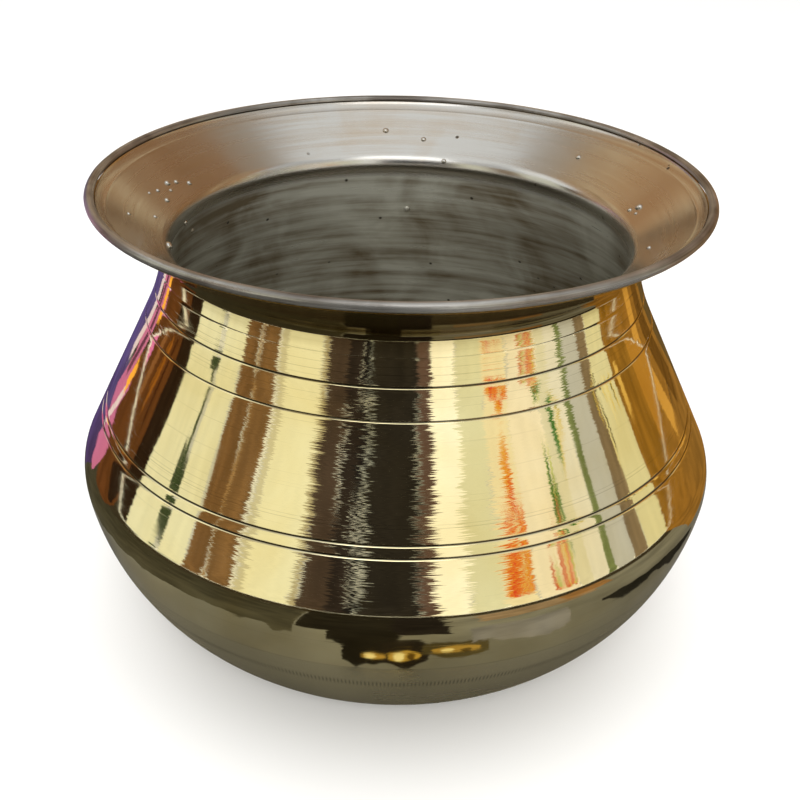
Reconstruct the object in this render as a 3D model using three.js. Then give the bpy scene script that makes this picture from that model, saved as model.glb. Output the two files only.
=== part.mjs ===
import * as THREE from 'three';

// Brass cooking pot with a flared mouth. Millimetres, +Z up, origin at the middle of the
// flat that the pot rests on. Every piece is a solid of revolution about the Z axis.

// ---- driving dimensions ----

const potHeight = 164.5;          // flat base to the top of the rim
const rimRadius = 100;            // outside of the rim
const bellyRadius = 109;          // widest place of the body

const wallThickness = 1.6;        // brass sheet
const tinThickness = 0.4;         // wiped tin coat
const jointGap = 0.3;             // between two pieces that touch

// Angles are the slope of the wall above the horizontal, walking up the outside.
const baseCornerRadius = 35;      // soft corner between the flat base and the bowl
const baseCornerSlope = 24;
const bowlBendRadius = 80.6;      // round side of the lower bowl
const bowlTopSlope = 81.5;
const bellyBendRadius = 17;       // tight turn at the belly
const shoulderSlope = 116.3;      // straight cone of the shoulder, leaning inwards
const shoulderTop = 121;          // height where the cone starts to straighten
const neckBendRadius = 70;        // hollow sweep from the shoulder to the neck
const neckSlope = 106;
const creaseStart = 142.5;        // height where the wall turns out into the mouth
const creaseRadius = 3.5;
const beadRadius = 1.6;           // rounded rim

const bellySeamHeight = 86.8;     // outside line of the seam between bowl and shoulder
const neckSeamHeight = 130.2;     // outside line of the seam between shoulder and collar
const turnedLineHeights = [90.1, 121.3];  // single turned lines, one beside each seam
const turnedLineWidth = 0.9;
const turnedLineDepth = 0.35;
const seamChamfer = 0.35;         // broken edge on each side of a seam

const lapHeight = 6;              // overlap of two sheets in a seam
const brazeHeight = 1.2;          // ring of brazing metal below the overlap
const rimFlat = 1.2;              // flat back of the rim ring, from the middle of its bead
const rimBrazeWidth = 0.8;

const roundSegments = 48;
const degree = Math.PI / 180;

// ---- outline of the wall ----

// A pen that walks up the outside of the wall and notes radius, height and slope.
function newPen(radius, height, slope) {
  return { marks: [{ radius, height, slope }] };
}

function lastMark(pen) {
  return pen.marks[pen.marks.length - 1];
}

function forward(pen, length) {
  const { radius, height, slope } = lastMark(pen);
  pen.marks.push({
    radius: radius + length * Math.cos(slope),
    height: height + length * Math.sin(slope),
    slope,
  });
}

function forwardToHeight(pen, height) {
  const mark = lastMark(pen);
  forward(pen, (height - mark.height) / Math.sin(mark.slope));
}

// Centre of a bend that starts at the last mark; side is 1 for a left turn, -1 for a right one.
function bendCentre(pen, bendRadius, side) {
  const { radius, height, slope } = lastMark(pen);
  return {
    radius: radius - side * bendRadius * Math.sin(slope),
    height: height + side * bendRadius * Math.cos(slope),
  };
}

function bendTo(pen, bendRadius, endSlope, steps) {
  const startSlope = lastMark(pen).slope;
  const side = Math.sign(endSlope - startSlope);
  const centre = bendCentre(pen, bendRadius, side);
  for (let step = 1; step <= steps; step += 1) {
    const slope = startSlope + ((endSlope - startSlope) * step) / steps;
    pen.marks.push({
      radius: centre.radius + side * bendRadius * Math.sin(slope),
      height: centre.height - side * bendRadius * Math.cos(slope),
      slope,
    });
  }
}

// Radius of the flat base that brings the belly out to its own radius.
function flatBaseRadius() {
  const corner = baseCornerRadius * Math.sin(baseCornerSlope * degree);
  const bowlReach = Math.sin(bowlTopSlope * degree) - Math.sin(baseCornerSlope * degree);
  const belly = bellyBendRadius * (1 - Math.sin(bowlTopSlope * degree));
  return bellyRadius - corner - bowlBendRadius * bowlReach - belly;
}

const beadCentre = { radius: rimRadius - beadRadius, height: potHeight - beadRadius };

// Straight mouth wall, tangent to the crease at the neck and to the rounded rim.
function mouthTangent(pen) {
  const crease = bendCentre(pen, creaseRadius, -1);
  const across = beadCentre.radius - crease.radius;
  const up = beadCentre.height - crease.height;
  const apart = Math.hypot(across, up);
  const slope = Math.atan2(up, across) - Math.asin((creaseRadius + beadRadius) / apart);
  const length = Math.sqrt(apart ** 2 - (creaseRadius + beadRadius) ** 2);
  return { slope, length };
}

function drawWall() {
  const pen = newPen(0, 0, 0);
  forward(pen, flatBaseRadius());
  bendTo(pen, baseCornerRadius, baseCornerSlope * degree, 3);
  bendTo(pen, bowlBendRadius, bowlTopSlope * degree, 8);
  bendTo(pen, bellyBendRadius, shoulderSlope * degree, 4);
  forwardToHeight(pen, shoulderTop);
  bendTo(pen, neckBendRadius, neckSlope * degree, 3);
  forwardToHeight(pen, creaseStart);
  const mouth = mouthTangent(pen);
  bendTo(pen, creaseRadius, mouth.slope, 5);
  forward(pen, mouth.length - rimFlat - 2 * jointGap - rimBrazeWidth);
  return { marks: pen.marks, mouth };
}

const wall = drawWall();

// The wall's outline at a depth below its outside, as [radius, height] points.
function outlineAt(depth) {
  return wall.marks.map(({ radius, height, slope }) => [
    radius - depth * Math.sin(slope),
    height + depth * Math.cos(slope),
  ]);
}

function pointAtHeight(outline, height) {
  const next = outline.findIndex((point) => point[1] > height);
  const [lowRadius, lowHeight] = outline[next - 1];
  const [highRadius, highHeight] = outline[next];
  const share = (height - lowHeight) / (highHeight - lowHeight);
  return [lowRadius + share * (highRadius - lowRadius), height];
}

// The stretch of an outline between two heights; a low of 0 starts it on the axis.
function stretch(outline, low, high) {
  const lastHeight = outline[outline.length - 1][1];
  const between = outline.filter(([, height]) => (low === 0 || height > low) && height < high);
  const start = low > 0 ? [pointAtHeight(outline, low)] : [];
  const end = high < lastHeight ? [pointAtHeight(outline, high)] : [];
  return [...start, ...between, ...end];
}

const outside = outlineAt(0);
const inside = outlineAt(wallThickness);
const leaf = (wallThickness - jointGap) / 2;       // each sheet is thinned to this in a lap
const outerLeafBack = outlineAt(leaf);
const innerLeafFace = outlineAt(leaf + jointGap);
const tinBack = outlineAt(wallThickness + jointGap);
const tinFace = outlineAt(wallThickness + jointGap + tinThickness);

// ---- cuts in the outside ----

function turnedLine(height) {
  const half = turnedLineWidth / 2;
  const [bottomRadius] = pointAtHeight(outside, height);
  return [
    pointAtHeight(outside, height - half),
    [bottomRadius - turnedLineDepth, height],
    pointAtHeight(outside, height + half),
  ];
}

// The outside between two heights, with the turned lines that fall in it.
function outsideWithLines(low, high) {
  const half = turnedLineWidth / 2;
  const points = [];
  let from = low;
  for (const height of turnedLineHeights) {
    if (height > low && height < high) {
      points.push(...stretch(outside, from, height - half).slice(0, -1), ...turnedLine(height));
      from = height + half;
    }
  }
  return [...points, ...stretch(outside, from, high).slice(points.length ? 1 : 0)];
}

function chamferPoint(height) {
  const [radius] = pointAtHeight(outside, height);
  return [radius - seamChamfer, height];
}

// ---- solids of revolution ----

function turned(section) {
  const points = section.map(([radius, height]) => new THREE.Vector2(radius, height));
  return new THREE.LatheGeometry(points, roundSegments).rotateX(Math.PI / 2);
}

function closed(section) {
  return [...section, section[0]];
}

// Heights around a lapped seam, from the outside line down to the shelf that holds the braze.
function seamHeights(lineHeight) {
  const lapEnd = lineHeight - lapHeight;
  const brazeTop = lapEnd - jointGap;
  const brazeBottom = brazeTop - brazeHeight;
  return {
    above: lineHeight + jointGap / 2,
    below: lineHeight - jointGap / 2,
    lapEnd,
    brazeTop,
    brazeBottom,
    shelf: brazeBottom - jointGap,
    lining: (brazeTop + brazeBottom) / 2,
  };
}

const bellySeam = seamHeights(bellySeamHeight);
const neckSeam = seamHeights(neckSeamHeight);

// Upper edge of a sheet: a thin outer leaf that the next sheet's leaf sits behind.
function upperLap(seam) {
  return [chamferPoint(seam.below), ...stretch(outerLeafBack, seam.shelf, seam.below).reverse()];
}

// Lower edge of a sheet: a thin inner leaf that drops behind the sheet below.
function lowerLap(seam) {
  return [...stretch(innerLeafFace, seam.lapEnd, seam.above), chamferPoint(seam.above)];
}

function makeBaseBowl() {
  return turned([
    ...outsideWithLines(0, bellySeam.below - seamChamfer),
    ...upperLap(bellySeam),
    ...stretch(inside, 0, bellySeam.shelf).reverse(),
  ]);
}

function makeShoulderCone() {
  return turned(closed([
    ...outsideWithLines(bellySeam.above + seamChamfer, neckSeam.below - seamChamfer),
    ...upperLap(neckSeam),
    ...stretch(inside, bellySeam.lapEnd, neckSeam.shelf).reverse(),
    ...lowerLap(bellySeam),
  ]));
}

function makeNeckMouthCollar() {
  return turned(closed([
    ...stretch(outside, neckSeam.above + seamChamfer, potHeight),
    ...stretch(inside, neckSeam.lapEnd, potHeight).reverse(),
    ...lowerLap(neckSeam),
  ]));
}

function makeSeamBraze(seam) {
  return turned(closed([
    ...stretch(innerLeafFace, seam.brazeBottom, seam.brazeTop),
    ...stretch(inside, seam.brazeBottom, seam.brazeTop).reverse(),
  ]));
}

// A point at the rim, along the mouth wall from the middle of the bead and across it.
function rimPoint(along, across) {
  const { slope } = wall.mouth;
  return [
    beadCentre.radius + along * Math.cos(slope) - across * Math.sin(slope),
    beadCentre.height + along * Math.sin(slope) + across * Math.cos(slope),
  ];
}

function makeRimBraze() {
  const near = -rimFlat - jointGap;
  const far = near - rimBrazeWidth;
  const low = -beadRadius + 0.1;
  const high = -beadRadius + wallThickness - 0.1;
  return turned(closed([rimPoint(far, low), rimPoint(near, low), rimPoint(near, high), rimPoint(far, high)]));
}

function makeRimRing() {
  const flatAngle = Math.acos(-rimFlat / beadRadius);
  const steps = 10;
  const section = [];
  for (let step = 0; step <= steps; step += 1) {
    const angle = -flatAngle + (2 * flatAngle * step) / steps;
    section.push(rimPoint(beadRadius * Math.cos(angle), beadRadius * Math.sin(angle)));
  }
  return turned(closed(section));
}

function makeLiningBowl() {
  const top = bellySeam.lining - jointGap / 2;
  return turned([...stretch(tinBack, 0, top), ...stretch(tinFace, 0, top).reverse()]);
}

function makeLiningShoulder() {
  const bottom = bellySeam.lining + jointGap / 2;
  const top = neckSeam.lining - jointGap / 2;
  return turned(closed([...stretch(tinBack, bottom, top), ...stretch(tinFace, bottom, top).reverse()]));
}

// The lining of the mouth runs on over the rim's braze, up to the bead.
function makeLiningMouth() {
  const bottom = neckSeam.lining + jointGap / 2;
  const end = -beadRadius - jointGap / 2;
  const back = -beadRadius + wallThickness + jointGap;
  return turned(closed([
    ...stretch(tinBack, bottom, potHeight),
    rimPoint(end, back),
    rimPoint(end, back + tinThickness),
    ...stretch(tinFace, bottom, potHeight).reverse(),
  ]));
}

// ---- finishes ----

const finishes = {
  polishedBrass: { color: 0xd2a74e, roughness: 0.12, metalness: 1 },
  satinBrass: { color: 0xa8894d, roughness: 0.35, metalness: 1 },
  brazingBrass: { color: 0xc9a24f, roughness: 0.4, metalness: 1 },
  tinnedRim: { color: 0xb4b0a6, roughness: 0.35, metalness: 1 },
  tinnedMouth: { color: 0xa69c8a, roughness: 0.4, metalness: 1 },
  tinnedInside: { color: 0x8b8878, roughness: 0.45, metalness: 1 },
};

function piece(name, geometry, finish) {
  const mesh = new THREE.Mesh(geometry, new THREE.MeshStandardMaterial(finish));
  mesh.name = name;
  return mesh;
}

const pot = new THREE.Group();
pot.name = 'flared_brass_pot';
pot.add(
  piece('base_bowl', makeBaseBowl(), finishes.satinBrass),
  piece('shoulder_cone', makeShoulderCone(), finishes.polishedBrass),
  piece('neck_mouth_collar', makeNeckMouthCollar(), finishes.polishedBrass),
  piece('rim_ring', makeRimRing(), finishes.tinnedRim),
  piece('belly_braze', makeSeamBraze(bellySeam), finishes.brazingBrass),
  piece('neck_braze', makeSeamBraze(neckSeam), finishes.brazingBrass),
  piece('rim_braze', makeRimBraze(), finishes.brazingBrass),
  piece('tin_lining_bowl', makeLiningBowl(), finishes.tinnedInside),
  piece('tin_lining_shoulder', makeLiningShoulder(), finishes.tinnedInside),
  piece('tin_lining_mouth', makeLiningMouth(), finishes.tinnedMouth),
);

export default pot;
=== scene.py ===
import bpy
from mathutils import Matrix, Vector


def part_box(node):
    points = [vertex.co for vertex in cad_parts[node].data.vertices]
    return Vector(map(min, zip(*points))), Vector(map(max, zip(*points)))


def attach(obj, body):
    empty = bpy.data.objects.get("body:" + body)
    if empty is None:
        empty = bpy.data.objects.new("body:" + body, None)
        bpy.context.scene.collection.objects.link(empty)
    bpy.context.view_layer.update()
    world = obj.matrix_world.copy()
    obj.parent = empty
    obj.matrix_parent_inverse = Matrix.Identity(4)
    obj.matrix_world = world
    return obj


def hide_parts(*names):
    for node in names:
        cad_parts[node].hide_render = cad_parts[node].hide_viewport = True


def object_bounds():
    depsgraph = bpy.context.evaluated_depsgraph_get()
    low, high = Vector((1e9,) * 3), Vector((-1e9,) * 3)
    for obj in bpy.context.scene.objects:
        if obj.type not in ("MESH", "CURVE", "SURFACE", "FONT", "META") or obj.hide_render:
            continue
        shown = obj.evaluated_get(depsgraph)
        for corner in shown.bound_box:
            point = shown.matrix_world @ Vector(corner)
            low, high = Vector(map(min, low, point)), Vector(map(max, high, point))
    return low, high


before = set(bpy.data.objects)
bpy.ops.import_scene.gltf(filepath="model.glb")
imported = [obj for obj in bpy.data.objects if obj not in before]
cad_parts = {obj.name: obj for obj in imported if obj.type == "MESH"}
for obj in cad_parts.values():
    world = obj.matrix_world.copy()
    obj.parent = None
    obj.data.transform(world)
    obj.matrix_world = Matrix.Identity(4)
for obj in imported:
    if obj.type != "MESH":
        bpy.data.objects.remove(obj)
cadBox = [list(corner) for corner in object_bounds()]

import math
import random

import bpy
from mathutils import Matrix, Vector, noise

mm = 0.001
degree = math.pi / 180
print("frame loaded, box", cadBox)


def hexColour(code):
    channels = []
    for start in (0, 2, 4):
        value = int(code[start:start + 2], 16) / 255
        linear = value / 12.92 if value <= 0.04045 else ((value + 0.055) / 1.055) ** 2.4
        channels.append(linear)
    return (*channels, 1.0)


def addNode(tree, kind, settings=None, links=None):
    # a key is an input's name or number, or else one of the node's own settings
    node = tree.nodes.new(kind)
    for key, value in (settings or {}).items():
        if not isinstance(key, int) and hasattr(node, key):
            setattr(node, key, value)
    for key, value in (settings or {}).items():
        if isinstance(key, int) or not hasattr(node, key):
            node.inputs[key].default_value = value
    for key, socket in (links or {}).items():
        tree.links.new(socket, node.inputs[key])
    return node


def newMaterial(name):
    material = bpy.data.materials.new(name)
    material.use_nodes = True
    tree = material.node_tree
    tree.nodes.clear()
    return material, tree


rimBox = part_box("rim_ring")
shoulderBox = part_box("shoulder_cone")
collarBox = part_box("neck_mouth_collar")

wallShape = {
    "potHeight": rimBox[1].z / mm,
    "rimRadius": rimBox[1].x / mm,
    "bellyRadius": cadBox[1][0] / mm,
    "wallThickness": 1.6,        # brass sheet
    "tinThickness": 0.4,
    "seamGap": 0.06,             # two brazed sheets meet this close
    "baseCornerRadius": 35,
    "baseCornerSlope": 24,
    "bowlBendRadius": 80.6,
    "bowlTopSlope": 81.5,
    "bellyBendRadius": 17,
    "shoulderSlope": 116.3,
    "shoulderTop": 121,
    "neckBendRadius": 70,
    "neckSlope": 106,
    "creaseStart": 142.5,
    "creaseRadius": 3.5,
    "beadRadius": 1.6,
    "rimFlat": 1.2,              # from the middle of the bead to the flat the sheet is brazed to
    "rimBrazeWidth": 0.8,
    "lapHeight": 6,
    "brazeHeight": 1.2,
    "waviness": 0.06,            # how far a beaten wall strays from round
}

# the lower edges of the upper sheets sit one lap below the seam lines
bellySeamHeight = shoulderBox[0].z / mm + wallShape["lapHeight"]
neckSeamHeight = collarBox[0].z / mm + wallShape["lapHeight"]

buffedAbove = 50.6               # the bowl is only scoured under this height, in mm

# height, half width and depth of each line cut on the lathe, in mm
turnedLines = [
    (bellySeamHeight, 0.25, 0.19),
    (bellySeamHeight + 3.3, 0.25, 0.19),
    (neckSeamHeight - 8.9, 0.22, 0.16),
    (neckSeamHeight, 0.24, 0.18),
    (bellySeamHeight + 7.7, 0.12, 0.04),
    (bellySeamHeight + 8.6, 0.10, 0.03),
    (neckSeamHeight + 3.4, 0.12, 0.05),
    (neckSeamHeight + 5.6, 0.10, 0.04),
    (neckSeamHeight + 8.1, 0.10, 0.04),
    (neckSeamHeight - 3.1, 0.10, 0.03),
    (neckSeamHeight - 5.2, 0.08, 0.02),
    (buffedAbove, 0.16, 0.05),
]

lineLip = 0.10                   # metal pushed up beside a line, as a share of its depth
turnSteps = 360                  # points round each piece


def lineDepth(height):
    depth = 0
    for lineHeight, halfWidth, cut in turnedLines:
        offset = (height - lineHeight) / halfWidth
        if abs(offset) < 4:
            groove = math.exp(-offset * offset)
            lip = lineLip * math.exp(-(abs(offset) - 1.9) ** 2 * 3)
            depth += cut * (groove - lip)
    return depth


def stepAt(height):
    # how far apart the points of the outline are, in mm: closest across the lines
    if height < 0.05:
        return 2.4
    if height > wallShape["creaseStart"] - 1:
        return 0.7
    for lineHeight, halfWidth, cut in turnedLines:
        if abs(height - lineHeight) < 3.2 * halfWidth:
            return halfWidth * 0.3
    return 1.15


class Pen:
    # draws the outline of the wall from the middle of the base to the rim
    def __init__(self):
        self.radius = 0.0
        self.height = 0.0
        self.slope = 0.0
        self.marks = [(0.0, 0.0, 0.0)]

    def walk(self, length, curve=0.0):
        left = length
        while left > 1e-6:
            step = min(left, stepAt(self.height))
            nextSlope = self.slope + curve * step
            if curve:
                self.radius += (math.sin(nextSlope) - math.sin(self.slope)) / curve
                self.height -= (math.cos(nextSlope) - math.cos(self.slope)) / curve
            else:
                self.radius += step * math.cos(self.slope)
                self.height += step * math.sin(self.slope)
            self.slope = nextSlope
            self.marks.append((self.radius, self.height, self.slope))
            left -= step

    def bendTo(self, bendRadius, endSlope):
        turn = endSlope - self.slope
        self.walk(abs(turn) * bendRadius, math.copysign(1 / bendRadius, turn))

    def walkToHeight(self, height):
        self.walk((height - self.height) / math.sin(self.slope))


def flatBaseRadius(shape):
    corner = shape["baseCornerRadius"] * math.sin(shape["baseCornerSlope"] * degree)
    reach = math.sin(shape["bowlTopSlope"] * degree) - math.sin(shape["baseCornerSlope"] * degree)
    belly = shape["bellyBendRadius"] * (1 - math.sin(shape["bowlTopSlope"] * degree))
    return shape["bellyRadius"] - corner - shape["bowlBendRadius"] * reach - belly


def mouthTangent(pen, shape):
    # straight wall of the mouth, touching the bend at the neck and the bead of the rim
    creaseX = pen.radius + shape["creaseRadius"] * math.sin(pen.slope)
    creaseZ = pen.height - shape["creaseRadius"] * math.cos(pen.slope)
    across = shape["rimRadius"] - shape["beadRadius"] - creaseX
    up = shape["potHeight"] - shape["beadRadius"] - creaseZ
    apart = math.hypot(across, up)
    both = shape["creaseRadius"] + shape["beadRadius"]
    slope = math.atan2(up, across) - math.asin(both / apart)
    return slope, math.sqrt(apart ** 2 - both ** 2)


def drawWall(shape):
    pen = Pen()
    pen.walk(flatBaseRadius(shape))
    pen.bendTo(shape["baseCornerRadius"], shape["baseCornerSlope"] * degree)
    pen.bendTo(shape["bowlBendRadius"], shape["bowlTopSlope"] * degree)
    pen.bendTo(shape["bellyBendRadius"], shape["shoulderSlope"] * degree)
    pen.walkToHeight(shape["shoulderTop"])
    pen.bendTo(shape["neckBendRadius"], shape["neckSlope"] * degree)
    pen.walkToHeight(shape["creaseStart"])
    mouthSlope, mouthLength = mouthTangent(pen, shape)
    pen.bendTo(shape["creaseRadius"], mouthSlope)
    pen.walk(mouthLength - shape["rimFlat"] - shape["rimBrazeWidth"] - 2 * shape["seamGap"])
    return pen.marks, mouthSlope


wallMarks, mouthSlope = drawWall(wallShape)


def outlineAt(depth, lines=False):
    points = []
    for radius, height, slope in wallMarks:
        inward = depth + (lineDepth(height) if lines else 0)
        points.append((radius - inward * math.sin(slope), height + inward * math.cos(slope)))
    return points


def pointAtHeight(outline, height):
    for low, high in zip(outline, outline[1:]):
        if low[1] <= height < high[1]:
            share = (height - low[1]) / (high[1] - low[1])
            return (low[0] + share * (high[0] - low[0]), height)
    return outline[-1]


def stretch(outline, low, high):
    # the part of an outline between two heights; a low of None starts it on the axis
    between = [p for p in outline if (low is None or p[1] > low) and (high is None or p[1] < high)]
    start = [] if low is None else [pointAtHeight(outline, low)]
    end = [] if high is None else [pointAtHeight(outline, high)]
    return start + between + end


def thinned(points, keepEvery):
    # hidden faces need fewer points; the two ends stay
    return points[:-1:keepEvery] + [points[-1]]


wall = wallShape["wallThickness"]
gap = wallShape["seamGap"]
leaf = (wall - gap) / 2
outside = outlineAt(0, lines=True)
inside = outlineAt(wall)
outerLeafBack = outlineAt(leaf)
innerLeafFace = outlineAt(leaf + gap)
tinBack = outlineAt(wall + gap)
tinFace = outlineAt(wall + gap + wallShape["tinThickness"])
print("wall drawn with", len(wallMarks), "marks")


# a beaten and turned wall is never quite round: share, count, twist and start of each long wave
handWaves = [(0.35, 3, 0.021, 0.7), (0.25, 7, -0.05, 2.1), (0.22, 12, 0.11, 4.4), (0.18, 19, -0.17, 1.3)]


def handWobble(angle, height):
    return sum(share * math.sin(count * angle + height * twist + start)
               for share, count, twist, start in handWaves)


def meshObject(name, vertices, faces, sharpAngle=None):
    mesh = bpy.data.meshes.new(name)
    mesh.from_pydata(vertices, [], faces)
    if sharpAngle is not None:
        mesh.shade_smooth()
        mesh.set_sharp_from_angle(angle=sharpAngle * degree)
    thing = bpy.data.objects.new(name, mesh)
    bpy.context.scene.collection.objects.link(thing)
    return thing


def turnedSolid(name, section, closed=True, wobble=wallShape["waviness"], steps=turnSteps):
    # section is (radius, height) in mm, walked with the outside first; closed joins its two ends
    rings = []
    vertices = []
    for radius, height in section:
        if radius < 1e-6:
            rings.append([len(vertices)])
            vertices.append((0.0, 0.0, height * mm))
            continue
        ring = []
        for step in range(steps):
            angle = 2 * math.pi * step / steps
            shift = wobble * (handWobble(angle, height) - 1)
            reach = (radius + shift * min(1, height / 20)) * mm
            ring.append(len(vertices))
            vertices.append((reach * math.cos(angle), reach * math.sin(angle), height * mm))
        rings.append(ring)
    pairs = list(zip(rings, rings[1:]))
    if closed:
        pairs.append((rings[-1], rings[0]))
    faces = []
    for low, high in pairs:
        for step in range(steps):
            after = (step + 1) % steps
            if len(low) == 1:
                faces.append((low[0], high[after], high[step]))
            elif len(high) == 1:
                faces.append((low[step], low[after], high[0]))
            else:
                faces.append((low[step], low[after], high[after], high[step]))
    return meshObject(name, vertices, faces, sharpAngle=38)


def place(piece, node, material):
    piece.data.materials.append(material)
    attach(piece, "root")
    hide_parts(node)


def turningCoordinates(tree):
    # the height of each point in mm, and a count that rises all the way along the wall
    place3d = addNode(tree, "ShaderNodeTexCoord")
    split = addNode(tree, "ShaderNodeSeparateXYZ", links={0: place3d.outputs["Object"]})
    height = combine(tree, "MULTIPLY", split.outputs["Z"], 1 / mm)
    flat = addNode(tree, "ShaderNodeCombineXYZ", {}, {"X": split.outputs["X"], "Y": split.outputs["Y"]})
    reach = addNode(tree, "ShaderNodeVectorMath", {"operation": "LENGTH"}, {0: flat.outputs[0]})
    radius = combine(tree, "MULTIPLY", reach.outputs["Value"], 1 / mm)
    along = addNode(tree, "ShaderNodeMath", {"operation": "MULTIPLY_ADD", 1: 0.35}, {0: radius, 2: height})
    return {
        "object": place3d.outputs["Object"],
        "x": split.outputs["X"],
        "y": split.outputs["Y"],
        "height": height,
        "along": along.outputs[0],
    }


def streakNoise(tree, spots, roundLength, lineWidth, detail):
    # noise drawn out round the pot: roundLength and lineWidth are the size of one streak, in mm
    vector = addNode(tree, "ShaderNodeCombineXYZ", {}, {
        "X": combine(tree, "MULTIPLY", spots["x"], 1 / (roundLength * mm)),
        "Y": combine(tree, "MULTIPLY", spots["y"], 1 / (roundLength * mm)),
        "Z": combine(tree, "MULTIPLY", spots["along"], 1 / lineWidth),
    })
    return addNode(tree, "ShaderNodeTexNoise", {"Scale": 1.0, "Detail": detail, "Roughness": 0.6},
                   {"Vector": vector.outputs[0]}).outputs["Fac"]


def patchNoise(tree, spots, size, detail, distortion=0.0):
    return addNode(tree, "ShaderNodeTexNoise",
                   {"Scale": 1 / (size * mm), "Detail": detail, "Distortion": distortion},
                   {"Vector": spots["object"]}).outputs["Fac"]


def rangeOf(tree, value, fromLow, fromHigh, toLow, toHigh):
    return addNode(tree, "ShaderNodeMapRange",
                   {"From Min": fromLow, "From Max": fromHigh, "To Min": toLow, "To Max": toHigh},
                   {"Value": value}).outputs["Result"]


def combine(tree, operation, first, second):
    # first and second are each a socket or a number
    node = addNode(tree, "ShaderNodeMath", {"operation": operation})
    for number, value in enumerate((first, second)):
        if isinstance(value, (int, float)):
            node.inputs[number].default_value = value
        else:
            tree.links.new(value, node.inputs[number])
    return node.outputs[0]


def farFrom(tree, value, middle):
    return combine(tree, "ABSOLUTE", combine(tree, "SUBTRACT", value, middle), 0.0)


def mixColours(tree, share, first, second):
    node = addNode(tree, "ShaderNodeMix", {"data_type": "RGBA"}, {0: share})
    for number, value in ((6, first), (7, second)):
        if isinstance(value, str):
            node.inputs[number].default_value = hexColour(value)
        else:
            tree.links.new(value, node.inputs[number])
    return node.outputs[2]


def addBump(tree, height, depth, under=None):
    # depth is the real height of the relief in mm
    node = addNode(tree, "ShaderNodeBump", {"Strength": 1.0, "Distance": depth * mm}, {"Height": height})
    if under is not None:
        tree.links.new(under, node.inputs["Normal"])
    return node.outputs[0]


def metalSurface(tree, colour, roughness, normal, anisotropy=0.0, metallic=1.0):
    settings = {
        "Metallic": metallic,
        "Anisotropic": anisotropy,
        "Anisotropic Rotation": 0.25 if anisotropy else 0.0,
    }
    links = {"Base Color": colour, "Roughness": roughness, "Normal": normal}
    if anisotropy:
        # marks run round the pot, so highlights draw out up and down it
        round3d = addNode(tree, "ShaderNodeTangent", {"direction_type": "RADIAL", "axis": "Z"})
        links["Tangent"] = round3d.outputs[0]
    shader = addNode(tree, "ShaderNodeBsdfPrincipled", settings, links)
    addNode(tree, "ShaderNodeOutputMaterial", {}, {"Surface": shader.outputs[0]})
    return shader


# yellow brass, turned with a steel tool and buffed to a mirror: clear reflections, cut by hair lines
polishedBrass = {
    "bright": "F4E9BE",
    "warm": "EDDDA8",
    # the dark colour of the painted shade in the turned lines, also used for the darker scratches and ticks
    "darkLinesAndShade": "1C130A",
    "roughness": 0.055,
    "hairLineLength": 45,        # tool marks left by the buff, in mm
    "hairLineWidth": 0.30,
    "hairLineDepth": 0.0015,
    "scratchLength": 130,
    "scratchWidth": 0.55,
    "scratchDepth": 0.0035,
    "scratchDarkening": 0.16,
    "wideLineLength": 90,        # bands where the buff pressed harder
    "wideLineWidth": 2.2,
    "smudgeSize": 34,            # finger and cloth marks
    "leanLength": 26,            # each turned line leans a little to one side for this many mm
    "leanWidth": 0.22,
    "lean": 0.034,               # how far, in radians
    "wornPatch": 55,             # size of the patches where they lean more
    "wornFull": 30,              # they lean most this near the middle of the front and back,
    "wornFrom": 58,              # and least from here out
    "wornElsewhere": 0.22,
    "rippleSize": 11,            # the wall isn't quite smooth under the polish
    "rippleDepth": 0.014,
    "satinRoughness": 0.20,
    "satinTint": "E9DFB8",
    "tickHeight": 41.8,          # ring of tool chatter low on the bowl, in mm
    "tickRadius": 101,
    "tickPitch": 1.15,
    "tickDepth": 0.045,
    "tickDarkness": 0.42,
    # painted shade under the lip: its colour, the height where it starts and how far up it grows to full,
    # in mm
    "shadeUnderLip": "8E7B49",
    "shadeUnderLipFrom": 139,
    "shadeUnderLipFade": 6,
    "anisotropy": 0.6,
}


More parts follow.
